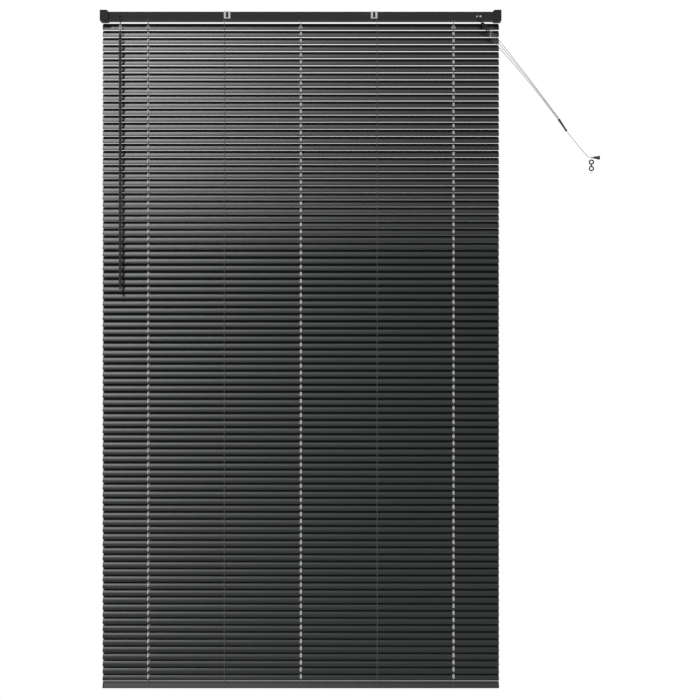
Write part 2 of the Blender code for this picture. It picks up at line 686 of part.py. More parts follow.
def make_cleat():
    """A figure-eight of two rings on a post that stands on the wall."""
    y = TASSEL_START.y + TASSEL_RADIUS + 2 * CLEAT_STROKE
    upper = CLEAT_TOP - CLEAT_RING - CLEAT_STROKE
    turns = 20
    rings = []
    for number in range(2):
        z = upper - number * CLEAT_RING_STEP
        bm = bmesh.new()
        bmesh.ops.create_cone(
            bm,
            cap_ends=True,
            segments=2 * turns,
            radius1=CLEAT_RING + CLEAT_STROKE,
            radius2=CLEAT_RING + CLEAT_STROKE,
            depth=2 * CLEAT_STROKE,
        )
        material = MATTE_BLACK if number == 0 else None
        name = "cord_cleat" if number == 0 else "cleat_ring"
        rings.append(add_object(name, mesh_from(bm, name), material, (CLEAT_X, y, z), (math.pi / 2, 0, 0)))
        eye = CLEAT_RING - CLEAT_STROKE
        rings.append(rod(f"cleat_eye_{number}", (CLEAT_X, y - 0.01, z), (CLEAT_X, y + 0.01, z), eye))
    cleat, upper_eye, lower_ring, lower_eye = rings
    neck = upper - CLEAT_RING_STEP / 2
    half = CLEAT_STROKE
    reach = CLEAT_RING_STEP / 2 - CLEAT_RING
    bridge_high = (CLEAT_X + half, y + half, neck + reach)
    bridge = box("cleat_neck", (CLEAT_X - half, y - half, neck - reach), bridge_high)
    post = box("cleat_post", (CLEAT_X - half, y, neck - half), (CLEAT_X + half, 0, neck + half))
    unite(cleat, lower_ring, bridge, post)
    subtract(cleat, upper_eye, lower_eye)
    foot = upper - CLEAT_RING_STEP - CLEAT_RING - CLEAT_STROKE - GAP - CORD_RADIUS
    tails = ((-0.0022, -0.0055), (-0.0012, -0.0028), (0, -0.0007), (0.0012, -0.0028), (0.0022, -0.0055))
    tube("cord_tails", [(CLEAT_X + x, y, foot + z) for x, z in tails], CORD_RADIUS, CORD_GREY)


for old in list(bpy.data.objects):
    bpy.data.objects.remove(old)

PARTS = new_collection("venetian_blind")
CUTTERS = new_collection("cutters")
MATTE_BLACK = new_material("matte_black", (0.033, 0.034, 0.036), 0.5)
CLIP_GREY = new_material("pale_grey", (0.45, 0.46, 0.46), 0.45)
WHITE_NYLON = new_material("white_nylon", (0.7, 0.7, 0.68), 0.5)
STEEL = new_material("steel", (0.45, 0.45, 0.46), 0.35, 1.0)
CORD_GREY = new_material("cord_grey", (0.4, 0.4, 0.4), 0.9)
CORD_DARK = new_material("cord_dark", (0.04, 0.04, 0.04), 0.9)

make_slats()
make_headrail()
make_bracket("left", -1)
make_bracket("right", 1)
make_clip("left", -CLIP_OFFSET)
make_clip("right", CLIP_OFFSET)
make_tilt_rod()
for cord_number, cord_x in enumerate(LIFT_CORDS):
    make_lift_cord(cord_number + 1, cord_x)
make_wand(make_tilter())
make_bottom_rail()
make_cord_lock()
make_pull_cords()
make_cleat()
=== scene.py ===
"""The venetian blind's looks: slats with ladder rungs, cords, fittings, materials, light and camera."""

import json
import math

import bmesh
import bpy
from mathutils import Matrix, Vector


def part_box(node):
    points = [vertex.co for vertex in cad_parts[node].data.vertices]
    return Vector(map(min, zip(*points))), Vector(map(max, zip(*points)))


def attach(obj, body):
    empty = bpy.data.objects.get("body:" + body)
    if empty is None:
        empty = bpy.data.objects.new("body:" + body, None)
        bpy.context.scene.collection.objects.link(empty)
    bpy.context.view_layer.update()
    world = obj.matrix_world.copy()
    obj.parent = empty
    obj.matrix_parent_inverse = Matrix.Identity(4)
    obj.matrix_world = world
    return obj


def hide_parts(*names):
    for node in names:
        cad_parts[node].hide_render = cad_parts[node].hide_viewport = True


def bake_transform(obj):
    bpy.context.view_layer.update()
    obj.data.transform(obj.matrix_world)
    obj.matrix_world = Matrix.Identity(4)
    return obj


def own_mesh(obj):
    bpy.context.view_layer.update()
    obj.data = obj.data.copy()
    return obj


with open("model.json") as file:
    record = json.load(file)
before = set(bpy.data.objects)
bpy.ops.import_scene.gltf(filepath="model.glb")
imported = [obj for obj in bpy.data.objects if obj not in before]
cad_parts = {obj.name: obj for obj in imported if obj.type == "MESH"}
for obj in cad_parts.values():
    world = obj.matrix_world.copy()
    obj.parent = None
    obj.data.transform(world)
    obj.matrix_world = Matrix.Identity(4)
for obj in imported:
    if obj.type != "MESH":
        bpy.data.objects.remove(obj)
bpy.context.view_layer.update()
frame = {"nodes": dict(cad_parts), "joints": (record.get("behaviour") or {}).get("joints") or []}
joints = {joint["name"]: joint for joint in frame["joints"]}

# Sizes that the frame doesn't hold, in metres
CLOSED_TILT = math.radians(62)
SLAT_COUNT = 93
SLAT_WIDTH = 0.025
SLAT_THICKNESS = 0.0008
SLAT_CROWN = 0.0018
SLAT_CORNER = 0.003
SLAT_STEPS = 14
SLOT_LENGTH = 0.014
SLOT_WIDTH = 0.0048
SLOT_CORNER_ROOM = 0.0001
SLAT_RIM = 0.0002
LADDER_HALF = 0.0072
LADDER_RADIUS = 0.00045
RUNG_RADIUS = 0.00035
RUNG_REACH = 0.011
RUNG_SHIFT = 0.0011
KNOT_RADIUS = 0.0008
CORD_RADIUS = 0.0007
CORD_TOP_RISE = 0.0024
CORD_TURN_RISE = 0.0012
SHEATH_RADIUS = 0.0014
FERRULE_RADIUS = 0.0012
CLEAT_RING = 0.0062
CLEAT_STROKE = 0.002
CLEAT_NECK = 0.0022
CLEAT_WAIST = 0.0017
CLEAT_LAP = 0.0008
CLEAT_POST = 0.0019
ROLL_RADIUS = 0.0006
ROLL_INSET = 0.0005
ROLL_END_ROOM = 0.03
ROLL_LOCK_ROOM = 0.009
ROLL_TILTER_ROOM = 0.007
STUD_HEIGHT = 0.0105
STUD_SEAT = 0.0002
PLUG_DROP = 0.0036

# How finely the meshes are made, and where their edges stay sharp
MERGE_DISTANCE = 1e-6
CORNER_STEPS = 5
RUNG_STEPS = 8
PULL_STEPS = 8
FERRULE_STEPS = 2
TAIL_STEPS = 6
WRAP_STEPS = 16
CLEAT_TURN_STEPS = 40
RIM_DEGREES = 12
WIRE_DEGREES = 60
CLEAT_DEGREES = 40

# Camera, floor and light
CAMERA_DISTANCE = 3.6
CAMERA_X = 0.149
CAMERA_Z = -1.0264
SEEN_WIDTH = 2.121
SENSOR_WIDTH = 36
FLOOR_HALF = (4.0, 2.8)
FLOOR_PLACE = (0, -2.2, -2.3)
WORLD_AS_LIGHT = 0.4
WORLD_AS_SEEN = 1.0

LADDER_NUMBERS = range(1, 6)
LIFT_CORD_NUMBERS = range(1, 4)

# Places that come from the frame
SLATS_BUILT = sorted(int(name[5:7]) for name in joints if name.startswith("slat_") and name.endswith("tilt"))
AXIS_Y = joints["tilt"]["pos_m"][1]
ROD_Z = joints["tilt"]["pos_m"][2]
TOP_SLAT_Z = joints["slat_00_tilt"]["pos_m"][2]
LAST_SLAT_Z = joints[f"slat_{SLATS_BUILT[-1]:02d}_tilt"]["pos_m"][2]
PITCH = (TOP_SLAT_Z - LAST_SLAT_Z) / (SLAT_COUNT - 1)
FOOT_Z = joints["rail_tilt"]["pos_m"][2]
SLAT_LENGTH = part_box("slat_00")[1].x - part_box("slat_00")[0].x
RAIL_LOW, RAIL_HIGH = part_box("headrail")
LADDERS = [sum(corner.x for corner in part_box(f"ladder_{number}")) / 2 for number in LADDER_NUMBERS]
LIFT_CORDS = [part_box(f"lift_cord_{number}")[0].x + CORD_RADIUS for number in LIFT_CORD_NUMBERS]
LOCK_X = sum(corner.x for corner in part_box("lock_roller")) / 2

# Routes of the free cords, the same points as the solids follow, counted from the lock's mouth
CORD_SPACING = 0.003
JOINER_SPACING = 0.0021
GAP = 0.0003
MOUTH_REACH = 0.007
MOUTH_DROP = 0.0055
LOCK_MOUTH = Vector((LOCK_X, RAIL_LOW.y - MOUTH_REACH, RAIL_LOW.z - MOUTH_DROP))
PULL_ROUTES = (
    ((0, 0, 0), (0.030, 0.0003, -0.0285), (0.057, 0.0010, -0.0595), (0.147, 0.0055, -0.1725)),
    ((0, 0, 0), (0.029, 0.0003, -0.0355), (0.057, 0.0010, -0.0695), (0.147, 0.0055, -0.1775)),
    ((0, 0, 0), (0.028, 0.0003, -0.0425), (0.057, 0.0010, -0.0805), (0.147, 0.0055, -0.1835)),
)
JOINER_START = LOCK_MOUTH + Vector((0.236, 0.0100, -0.2925))
JOINER_END = LOCK_MOUTH + Vector((0.2615, 0.0130, -0.3295))
TAIL_ROUTE = ((0.286, 0.0155, -0.3590), (0.310, 0.0175, -0.3870), (0.327, 0.0187, -0.4045))
TASSEL_START = LOCK_MOUTH + Vector((0.3365, 0.0190, -0.4075))


def make_camera():
    """Square on to the blind and level with its middle, with the cords in view."""
    centre = Vector((CAMERA_X, AXIS_Y, CAMERA_Z))
    data = bpy.data.cameras.new("camera")
    data.sensor_width = SENSOR_WIDTH
    data.lens = data.sensor_width * CAMERA_DISTANCE / SEEN_WIDTH
    camera = bpy.data.objects.new("camera", data)
    camera.location = centre - Vector((0, CAMERA_DISTANCE, 0))
    camera.rotation_euler = (math.pi / 2, 0, 0)
    bpy.context.scene.collection.objects.link(camera)
    bpy.context.scene.camera = camera


# Materials


class Nodes:
    """A material's node tree, with its Principled shader."""

    def __init__(self, name, colour, roughness, metallic=0.0):
        self.material = bpy.data.materials.new(name)
        self.material.use_nodes = True
        self.tree = self.material.node_tree
        self.shader = self.tree.nodes["Principled BSDF"]
        self.set("Base Color", (*colour, 1.0))
        self.set("Roughness", roughness)
        self.set("Metallic", metallic)

    def set(self, socket, value):
        self.shader.inputs[socket].default_value = value

    def add(self, kind, **values):
        node = self.tree.nodes.new(kind)
        for key, value in values.items():
            if hasattr(node, key):
                setattr(node, key, value)
            else:
                node.inputs[key.replace("_", " ")].default_value = value
        return node

    def link(self, out, into):
        self.tree.links.new(out, into)

    def places(self, scale):
        """Object coordinates stretched by scale, so that a pattern runs along the piece."""
        coordinates = self.add("ShaderNodeTexCoord")
        mapping = self.add("ShaderNodeMapping")
        mapping.inputs["Scale"].default_value = scale
        self.link(coordinates.outputs["Object"], mapping.inputs["Vector"])
        return mapping.outputs["Vector"]

    def noise(self, scale, detail, stretch=(1, 1, 1)):
        made = self.add("ShaderNodeTexNoise", Scale=scale, Detail=detail)
        self.link(self.places(stretch), made.inputs["Vector"])
        return made.outputs["Fac"]

    def ramp(self, factor, low, high):
        made = self.add("ShaderNodeMapRange")
        made.inputs["To Min"].default_value = low
        made.inputs["To Max"].default_value = high
        self.link(factor, made.inputs["Value"])
        return made.outputs["Result"]

    def colours(self, factor, dark, light):
        made = self.add("ShaderNodeValToRGB")
        made.color_ramp.elements[0].color = (*dark, 1.0)
        made.color_ramp.elements[1].color = (*light, 1.0)
        made.color_ramp.elements[0].position = 0.3
        made.color_ramp.elements[1].position = 0.7
        self.link(factor, made.inputs["Fac"])
        self.link(made.outputs["Color"], self.shader.inputs["Base Color"])

    def bump(self, height, depth, strength=0.4):
        made = self.add("ShaderNodeBump", Strength=strength, Distance=depth)
        self.link(height, made.inputs["Height"])
        self.link(made.outputs["Normal"], self.shader.inputs["Normal"])


def slat_material():
    """Satin black with faint streaks along the slat, as rolled stock has."""
    made = Nodes("slat_black", (0.016, 0.018, 0.019), 0.36)
    streaks = made.noise(60, 4, (0.02, 1, 1))
    made.colours(streaks, (0.0145, 0.0165, 0.0175), (0.019, 0.021, 0.022))
    made.link(made.ramp(streaks, 0.27, 0.34), made.shader.inputs["Roughness"])
    made.bump(made.noise(900, 2, (0.05, 1, 1)), 0.00003)
    return made.material


def painted_material(name, dark, light):
    """Black paint on steel, with the fine ripple of powder coating."""
    made = Nodes(name, light, 0.42)
    speckle = made.noise(240, 4)
    made.colours(speckle, dark, light)
    made.link(made.ramp(speckle, 0.38, 0.5), made.shader.inputs["Roughness"])
    made.bump(made.noise(1400, 2), 0.00004)
    return made.material


def moulded_material(name, dark, light, rough):
    """Moulded plastic: a slightly uneven colour and the fine grain of the mould."""
    made = Nodes(name, light, rough)
    made.colours(made.noise(45, 3), dark, light)
    grain = made.noise(1800, 2)
    made.link(made.ramp(grain, rough - 0.06, rough + 0.08), made.shader.inputs["Roughness"])
    made.bump(grain, 0.00003)
    return made.material


def steel_material():
    made = Nodes("steel", (0.5, 0.5, 0.51), 0.32, 1.0)
    lines = made.noise(300, 4, (0.05, 1, 1))
    made.colours(lines, (0.42, 0.42, 0.43), (0.56, 0.56, 0.57))
    made.link(made.ramp(lines, 0.25, 0.42), made.shader.inputs["Roughness"])
    made.bump(lines, 0.00002)
    return made.material


def cord_material(name, dark, light):
    """A braid: two crossing sets of strands, with painted shade in the valleys between them."""
    made = Nodes(name, light, 0.85)
    made.set("Sheen Weight", 0.25)
    strands = []
    for lean in (-1, 1):
        wave = made.add("ShaderNodeTexWave", bands_direction="DIAGONAL", Scale=1.0, Distortion=0.4)
        made.link(made.places((1400 * lean, 1400, 1400)), wave.inputs["Vector"])
        strands.append(wave.outputs["Fac"])
    braid = made.add("ShaderNodeMath", operation="MAXIMUM")
    made.link(strands[0], braid.inputs[0])
    made.link(strands[1], braid.inputs[1])
    # The dark colour is painted shade in the braid's valleys; the light one is the strands' own colour.
    made.colours(braid.outputs["Value"], dark, light)
    made.bump(braid.outputs["Value"], 0.0001, 0.6)
    return made.material


# Shapes


def link_object(name, data, material):
    made = bpy.data.objects.new(name, data)
    bpy.context.scene.collection.objects.link(made)
    if material is not None:
        made.data.materials.clear()
        made.data.materials.append(material)
    return made


def smooth(mesh, degrees=35):
    mesh.shade_smooth()
    mesh.set_sharp_from_angle(angle=math.radians(degrees))


def as_mesh(made):
    """The object's shape with its modifiers applied, in the row frame; the object is removed."""
    bpy.context.view_layer.update()
    seen = made.evaluated_get(bpy.context.evaluated_depsgraph_get())
    mesh = bpy.data.meshes.new_from_object(seen)
    mesh.transform(made.matrix_world)
    bpy.data.objects.remove(made)
    bm = bmesh.new()
    bm.from_mesh(mesh)
    bmesh.ops.remove_doubles(bm, verts=bm.verts, dist=MERGE_DISTANCE)
    bm.to_mesh(mesh)
    bm.free()
    return mesh


def wire(name, points, radius, material, cyclic=False, sides=3):
    curve = bpy.data.curves.new(name, "CURVE")
    curve.dimensions = "3D"
    curve.bevel_depth = radius
    curve.bevel_resolution = sides
    curve.use_fill_caps = not cyclic
    spline = curve.splines.new("POLY")
    spline.points.add(len(points) - 1)
    for point, place in zip(spline.points, points):
        point.co = (*place, 1.0)
    spline.use_cyclic_u = cyclic
    return link_object(name, curve, material)


def mesh_wire(name, points, radius, material, sides=3):
    mesh = as_mesh(wire(name, points, radius, None, sides=sides))
    smooth(mesh, WIRE_DEGREES)
    return link_object(name, mesh, material)


def turned(name, profile, start, end, material, sides=40):
    """A shape turned about the line from start to end; the profile is (radius, distance from start)."""
    bm = bmesh.new()
    rings = []
    for radius, along in profile:
        if radius == 0:
            rings.append([bm.verts.new((0, 0, along))])
            continue
        angles = [2 * math.pi * side / sides for side in range(sides)]
        rings.append([bm.verts.new((radius * math.cos(a), radius * math.sin(a), along)) for a in angles])
    for near, far in zip(rings, rings[1:]):
        for side in range(sides):
            after = (side + 1) % sides
            here = (near[side % len(near)], near[after % len(near)])
            there = (far[after % len(far)], far[side % len(far)])
            corners = list(dict.fromkeys(here + there))
            if len(corners) > 2:
                bm.faces.new(corners)
    bmesh.ops.recalc_face_normals(bm, faces=bm.faces)
    start, end = Vector(start), Vector(end)
    turn = (end - start).to_track_quat("Z", "Y").to_matrix().to_4x4()
    bmesh.ops.transform(bm, matrix=Matrix.Translation(start) @ turn, verts=bm.verts)
    mesh = bpy.data.meshes.new(name)
    bm.to_mesh(mesh)
    bm.free()
    smooth(mesh)
    return link_object(name, mesh, material)


def smooth_path(points, steps):
    """Points on a smooth curve through the given ones, steps to each stretch."""
    points = [Vector(point) for point in points]
    ends = [2 * points[0] - points[1], *points, 2 * points[-1] - points[-2]]
    path = []
    for before, start, end, after in zip(ends, ends[1:], ends[2:], ends[3:]):
        for step in range(steps):
            t = step / steps
            pull = (end - before) / 2
            push = (after - start) / 2
            path.append(
                (2 * t**3 - 3 * t**2 + 1) * start
                + (t**3 - 2 * t**2 + t) * pull
                + (3 * t**2 - 2 * t**3) * end
                + (t**3 - t**2) * push
            )
    return [*path, points[-1]]


def outline_curve(name, outlines, thickness, rim):
    """A flat sheet with rolled edges from closed outlines; those inside the first are holes."""
    curve = bpy.data.curves.new(name, "CURVE")
    curve.dimensions = "2D"
    curve.fill_mode = "BOTH"
    curve.extrude = thickness / 2 - rim
    curve.bevel_depth = rim
    curve.bevel_resolution = 1
    curve.offset = -rim
    for outline in outlines:
        spline = curve.splines.new("POLY")
        spline.points.add(len(outline) - 1)
        for point, (x, y) in zip(spline.points, outline):
            point.co = (x, y, 0, 1)
        spline.use_cyclic_u = True
    return link_object(name, curve, None)


def rounded(half_x, half_y, corner, centre_x=0.0):
    """The outline of a rectangle with round corners."""
    points = []
    for quarter, (side_x, side_y) in enumerate(((1, 1), (-1, 1), (-1, -1), (1, -1))):
        for step in range(CORNER_STEPS + 1):
            angle = math.pi / 2 * (quarter + step / CORNER_STEPS)
            x = side_x * (half_x - corner) + corner * math.cos(angle)
            y = side_y * (half_y - corner) + corner * math.sin(angle)
            points.append((centre_x + x, y))
    return points


# Slats


def crown_height(across):
    return SLAT_CROWN * (2 / 3 - (2 * across / SLAT_WIDTH) ** 2)


def slat_pattern():
    """One slat about its own axis: a crowned sheet with round corners and a slot for each lift cord."""
    outlines = [rounded(SLAT_LENGTH / 2, SLAT_WIDTH / 2, SLAT_CORNER)]
    for x in LIFT_CORDS:
        outlines.append(rounded(SLOT_WIDTH / 2, SLOT_LENGTH / 2, SLOT_WIDTH / 2 - SLOT_CORNER_ROOM, x))
    mesh = as_mesh(outline_curve("slat_outline", outlines, SLAT_THICKNESS, SLAT_RIM))
    bm = bmesh.new()
    bm.from_mesh(mesh)
    for step in range(1, SLAT_STEPS):
        across = SLAT_WIDTH * (step / SLAT_STEPS - 0.5)
        geometry = [*bm.verts, *bm.edges, *bm.faces]
        bmesh.ops.bisect_plane(
            bm, geom=geometry, plane_co=(0, across, 0), plane_no=(0, 1, 0), dist=MERGE_DISTANCE
        )
    for vert in bm.verts:
        vert.co.z += crown_height(vert.co.y)
    bmesh.ops.recalc_face_normals(bm, faces=bm.faces)
    bm.to_mesh(mesh)
    bm.free()
    smooth(mesh, RIM_DEGREES)
    return mesh


def rung_pattern(materials):
    """The threads under one slat, from the front string of each ladder to the back one, with their knots."""
    sine, cosine = math.sin(CLOSED_TILT), math.cos(CLOSED_TILT)
    ends = []
    for side in (-1, 1):
        y, z = side * LADDER_HALF, side * RUNG_REACH
        ends.append((y * cosine + z * sine, z * cosine - y * sine))
    below = SLAT_THICKNESS / 2 + 2 * RUNG_RADIUS
    path = []
    for step in range(RUNG_STEPS + 1):
        across = SLAT_WIDTH * (step / RUNG_STEPS - 0.5)
        path.append((across, crown_height(across) - below))
    path = [ends[0], *path, ends[1]]
    bm = bmesh.new()
    for x in LADDERS:
        for shift in (-RUNG_SHIFT, RUNG_SHIFT):
            points = [(x + shift * (place not in ends), *place) for place in path]
            thread = as_mesh(wire("thread", points, RUNG_RADIUS, None, sides=1))
            bm.from_mesh(thread)
            bpy.data.meshes.remove(thread)
        for y, z in ends:
            place = Matrix.Translation((x, y, z))
            bmesh.ops.create_icosphere(bm, subdivisions=1, radius=KNOT_RADIUS, matrix=place)
    mesh = bpy.data.meshes.new("rungs")
    bm.to_mesh(mesh)
    bm.free()
    smooth(mesh, WIRE_DEGREES)
    mesh.materials.append(materials["thread"])
    return mesh


def share_lift(piece):
    """A slat that isn't built has its place baked into its mesh. Nothing here makes it go up with a built
    slat, and such a slat doesn't tilt.
    """
    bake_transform(piece)


def make_slats(materials):
    slat = slat_pattern()
    slat.materials.append(materials["slat"])
    rungs = rung_pattern(materials)
    turn = Matrix.Rotation(CLOSED_TILT, 4, "X")
    for number in range(SLAT_COUNT):
        built = number in SLATS_BUILT
        place = Matrix.Translation((0, AXIS_Y, TOP_SLAT_Z - number * PITCH)) @ turn
        for name, pattern, slot in (("blind_slat", slat, "slat_black"), ("ladder_rungs", rungs, "cord_dark")):
            mesh = pattern.copy()
            mesh.transform(place)
            piece = link_object(f"{name}_{number:02d}", mesh, None)
            if built:
                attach(piece, f"slat_{number:02d}_body")
            else:
                share_lift(piece)
            if built and name == "blind_slat":
                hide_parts(f"slat_{number:02d}")
            if built and name == "ladder_rungs" and number:
                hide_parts(f"slat_carrier_{number:02d}")
    make_grommets(materials)


def make_grommets(materials):
    """The pale bush round each slot of the top slat, wider at its lower end."""
    turn = Matrix.Translation((0, AXIS_Y, TOP_SLAT_Z)) @ Matrix.Rotation(CLOSED_TILT, 4, "X")
    low, high, shoulder_rise = -0.0090, 0.0075, 0.003
    foot, shoulder, top = 0.0062, 0.0066, 0.0022
    hole_across, hole_along, hole_corner = 0.0012, 0.0052, 0.0011
    thickness, rim, seat = 0.0009, 0.00025, 0.0006
    for number, x in enumerate(LIFT_CORDS):
        outer = [(-foot, low), (-shoulder, low + shoulder_rise), (-top, high), (top, high)]
        outer += [(shoulder, low + shoulder_rise), (foot, low)]
        outer = [(x + across, along) for across, along in outer]
        hole = rounded(hole_across, hole_along, hole_corner, x)
        mesh = as_mesh(outline_curve("bush_outline", [outer, hole], thickness, rim))
        for vert in mesh.vertices:
            vert.co.z += crown_height(vert.co.y) + SLAT_THICKNESS / 2 + seat
        mesh.transform(turn)
        smooth(mesh)
        bush = link_object(f"slot_bush_{number + 1}", mesh, materials["bush"])
        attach(bush, "slat_00_body")


# Ladders and lift cords


def foot_surface(across):
    """How far above the bottom rail's axis its surface lies, at a distance behind the axis, when closed."""
    low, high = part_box("bottom_rail")
    sine, cosine = math.sin(CLOSED_TILT), math.cos(CLOSED_TILT)
    height, depth = (high.z - low.z) / 2, (high.y - low.y) / 2
    bar = sine * sine - cosine * cosine
    half_width = (height * sine - depth * cosine) / bar
    half_height = (depth * sine - height * cosine) / bar
    face = (half_height + across * sine) / cosine
    end = (half_width - across * cosine) / sine
    return min(face, end)


def shorten(piece):
    """The drop of a cord gets a mesh of its own; nothing here shortens it as the bottom rail comes up."""
    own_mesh(piece)


def make_ladders(materials):
    clear = LADDER_RADIUS + GAP
    for number, x in enumerate(LADDERS, 1):
        arc = [math.pi * step / WRAP_STEPS for step in range(WRAP_STEPS + 1)]
        over = [(x, AXIS_Y - LADDER_HALF * math.cos(a), ROD_Z + LADDER_HALF * math.sin(a)) for a in arc]
        wrap = mesh_wire(f"ladder_wrap_{number}", over, LADDER_RADIUS, materials["thread"])
        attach(wrap, "root")
        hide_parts(f"ladder_{number}")
        for name, side, spare in (("front", -1, 3), ("back", 1, 1)):
            end = FOOT_Z + foot_surface(side * (LADDER_HALF - LADDER_RADIUS)) + spare * clear
            y = AXIS_Y + side * LADDER_HALF
            line = [(x, y, ROD_Z + (end - ROD_Z) * step / SLAT_COUNT) for step in range(SLAT_COUNT + 1)]
            string = mesh_wire(f"ladder_{name}_{number}", line, LADDER_RADIUS, materials["thread"], sides=1)
            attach(string, "root")
            shorten(string)


def make_lift_cords(materials):
    """Each cord's run inside the headrail, and its drop through the slats."""
    for number, x in enumerate(LIFT_CORDS, 1):
        low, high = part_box(f"lift_cord_{number}")
        lane_y = low.y + CORD_RADIUS
        lane_z = high.z - CORD_RADIUS
        top = RAIL_LOW.z + CORD_TOP_RISE
        start = top + CORD_TURN_RISE
        turn = (
            (x, AXIS_Y, top),
            (x + 0.0006, AXIS_Y - 0.0006, start),
            (x + 0.004, AXIS_Y - 0.0055, start + 0.0004),
            (x + 0.0075, lane_y + 0.0015, (start + lane_z) / 2),
            (x + 0.013, lane_y, lane_z),
            (x + 0.020, lane_y, lane_z),
        )
        run = [*smooth_path(turn, 5), Vector((high.x, lane_y, lane_z))]
        inner = mesh_wire(f"lift_cord_run_{number}", run, CORD_RADIUS, materials["cord"])
        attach(inner, "root")
        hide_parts(f"lift_cord_{number}")
        line = [(x, AXIS_Y, top + (low.z - top) * step / SLAT_COUNT) for step in range(SLAT_COUNT + 1)]
        drop = mesh_wire(f"lift_cord_drop_{number}", line, CORD_RADIUS, materials["cord"], sides=2)
        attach(drop, "root")
        shorten(drop)


# Pull cords


def make_joiner(materials):
    """The sleeve that gathers the three cords, with a collar at each end and a waist of fine ribs."""
    long = (JOINER_END - JOINER_START).length
    profile = [(0, 0), (0.0028, 0), (0.0034, 0.0006), (0.0036, 0.0016), (0.0036, 0.006)]
    ribs, first_rib, rib_room = 9, 0.007, 0.016
    widest, taper, groove, half_rib = 0.0035, 0.0006, 0.0004, 0.0008
    for rib in range(ribs):
        place = first_rib + rib * (long - rib_room) / (ribs - 1)
        radius = widest - taper * rib / (ribs - 1)
        profile += [(radius, place - half_rib), (radius - groove, place), (radius, place + half_rib)]
    profile += [(0.0032, long - 0.006), (0.0032, long - 0.001), (0.0026, long), (0, long)]
    joiner = turned("cord_sleeve", profile, JOINER_START, JOINER_END, materials["sleeve"])
    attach(joiner, "root")
    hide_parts("cord_joiner")
    return joiner


def make_sheath(number, path, materials):
    """The dark sheath over the first stretch of a pull cord, with a pale ferrule at its end."""
    sheath_end = PULL_STEPS
    ferrule_end = sheath_end + FERRULE_STEPS
    cover = mesh_wire(f"cord_sheath_{number}", path[1:sheath_end], SHEATH_RADIUS, materials["plastic"])
    ring = mesh_wire(f"cord_ferrule_{number}", path[sheath_end:ferrule_end], FERRULE_RADIUS, materials["pale"])
    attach(cover, "root")
    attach(ring, "root")
    return [cover, ring]


def make_tassel(materials):
    """A bell with a pale tip, a shoulder and a rolled mouth."""
    low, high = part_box("tassel")
    long, droop = high.x - low.x, 0.001
    tip = [(0, 0), (0.002, 0.0001), (0.0028, 0.0008), (0.003, 0.003), (0.003, 0.0068), (0, 0.0068)]
    end = TASSEL_START + Vector((long, 0, -droop))
    collar = turned("tassel_tip", tip, TASSEL_START, end, materials["pale"])
    bell = [(0, 0.0062), (0.0026, 0.0062), (0.003, 0.0068), (0.0031, 0.009), (0.0036, 0.013)]
    bell += [(0.0045, 0.018), (0.0056, 0.0225), (0.0063, 0.0245), (0.0064, 0.0252), (0.006, 0.0258)]
    bell += [(0.0052, 0.0252), (0.0040, 0.0185), (0, 0.018)]
    body = turned("tassel_bell", bell, TASSEL_START, end, materials["plastic"])
    for piece, slot in ((collar, "pale_grey_plastic"), (body, "black_plastic")):
        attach(piece, "root")
    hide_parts("tassel")
    return body, collar


def make_pull_cords(materials):
    along = (JOINER_END - JOINER_START).normalized()
    across = along.cross(Vector((0, 1, 0))).normalized()
    if across.x < 0:
        across = -across
    joiner = make_joiner(materials)
    for number, route in enumerate(PULL_ROUTES):
        offset = Vector(((1 - number) * CORD_SPACING, 0, 0))
        inlet = JOINER_START - along * (GAP + CORD_RADIUS) + across * (1 - number) * JOINER_SPACING
        start = LOCK_MOUTH + Vector(route[0]) + offset
        points = [start, *(LOCK_MOUTH + Vector(point) for point in route[1:]), inlet]
        path = smooth_path(points, PULL_STEPS)
        cord = wire(f"pull_string_{number + 1}", path, CORD_RADIUS, materials["pull"])
        sheaths = make_sheath(number + 1, path, materials)
        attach(cord, "root")
        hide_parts(f"pull_cord_{number + 1}")
    start = JOINER_END + along * (GAP + CORD_RADIUS)
    end = TASSEL_START - Vector((GAP + CORD_RADIUS, 0, 0))
    path = smooth_path([start, *(LOCK_MOUTH + Vector(point) for point in TAIL_ROUTE), end], TAIL_STEPS)
    tail = wire("tail_string", path, CORD_RADIUS, materials["pull"])
    body, collar = make_tassel(materials)
    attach(tail, "root")
    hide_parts("tail_cord")


def make_cleat(materials):
    """Two round rings one above the other, on a neck and a post that stands on the wall."""
    low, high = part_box("cord_cleat")
    x = (low.x + high.x) / 2
    y = low.y + CLEAT_STROKE
    top = high.z - CLEAT_RING - CLEAT_STROKE
    bottom = low.z + CLEAT_RING + CLEAT_STROKE
    pieces = []
    for number, z in enumerate((top, bottom)):
        angles = [2 * math.pi * step / CLEAT_TURN_STEPS for step in range(CLEAT_TURN_STEPS)]
        ring = [(x + CLEAT_RING * math.cos(a), y, z + CLEAT_RING * math.sin(a)) for a in angles]
        mesh = as_mesh(wire(f"ring_{number}", ring, CLEAT_STROKE, None, True, 4))
        pieces.append(link_object(f"ring_{number}", mesh, None))
    middle = (top + bottom) / 2
    reach = (top - bottom) / 2 - CLEAT_RING + CLEAT_LAP
    waisted = [(0, 0), (CLEAT_NECK, 0), (CLEAT_WAIST, reach), (CLEAT_NECK, 2 * reach), (0, 2 * reach)]
    neck = turned("neck", waisted, (x, y, middle - reach), (x, y, middle + reach), None, 24)
    straight = [(0, 0), (CLEAT_POST, 0), (CLEAT_POST, -y), (0, -y)]
    post = turned("post", straight, (x, y, middle), (x, 0, middle), None, 24)
    cleat = pieces[0]
    for part in (pieces[1], neck, post):
        joined = cleat.modifiers.new("join", "BOOLEAN")
        joined.operation = "UNION"
        joined.object = part
    mesh = as_mesh(cleat)
    for part in (pieces[1], neck, post):
        bpy.data.objects.remove(part)
    smooth(mesh, CLEAT_DEGREES)
    made = link_object("figure_eight_cleat", mesh, materials["plastic"])
    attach(made, "root")
    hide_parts("cord_cleat")


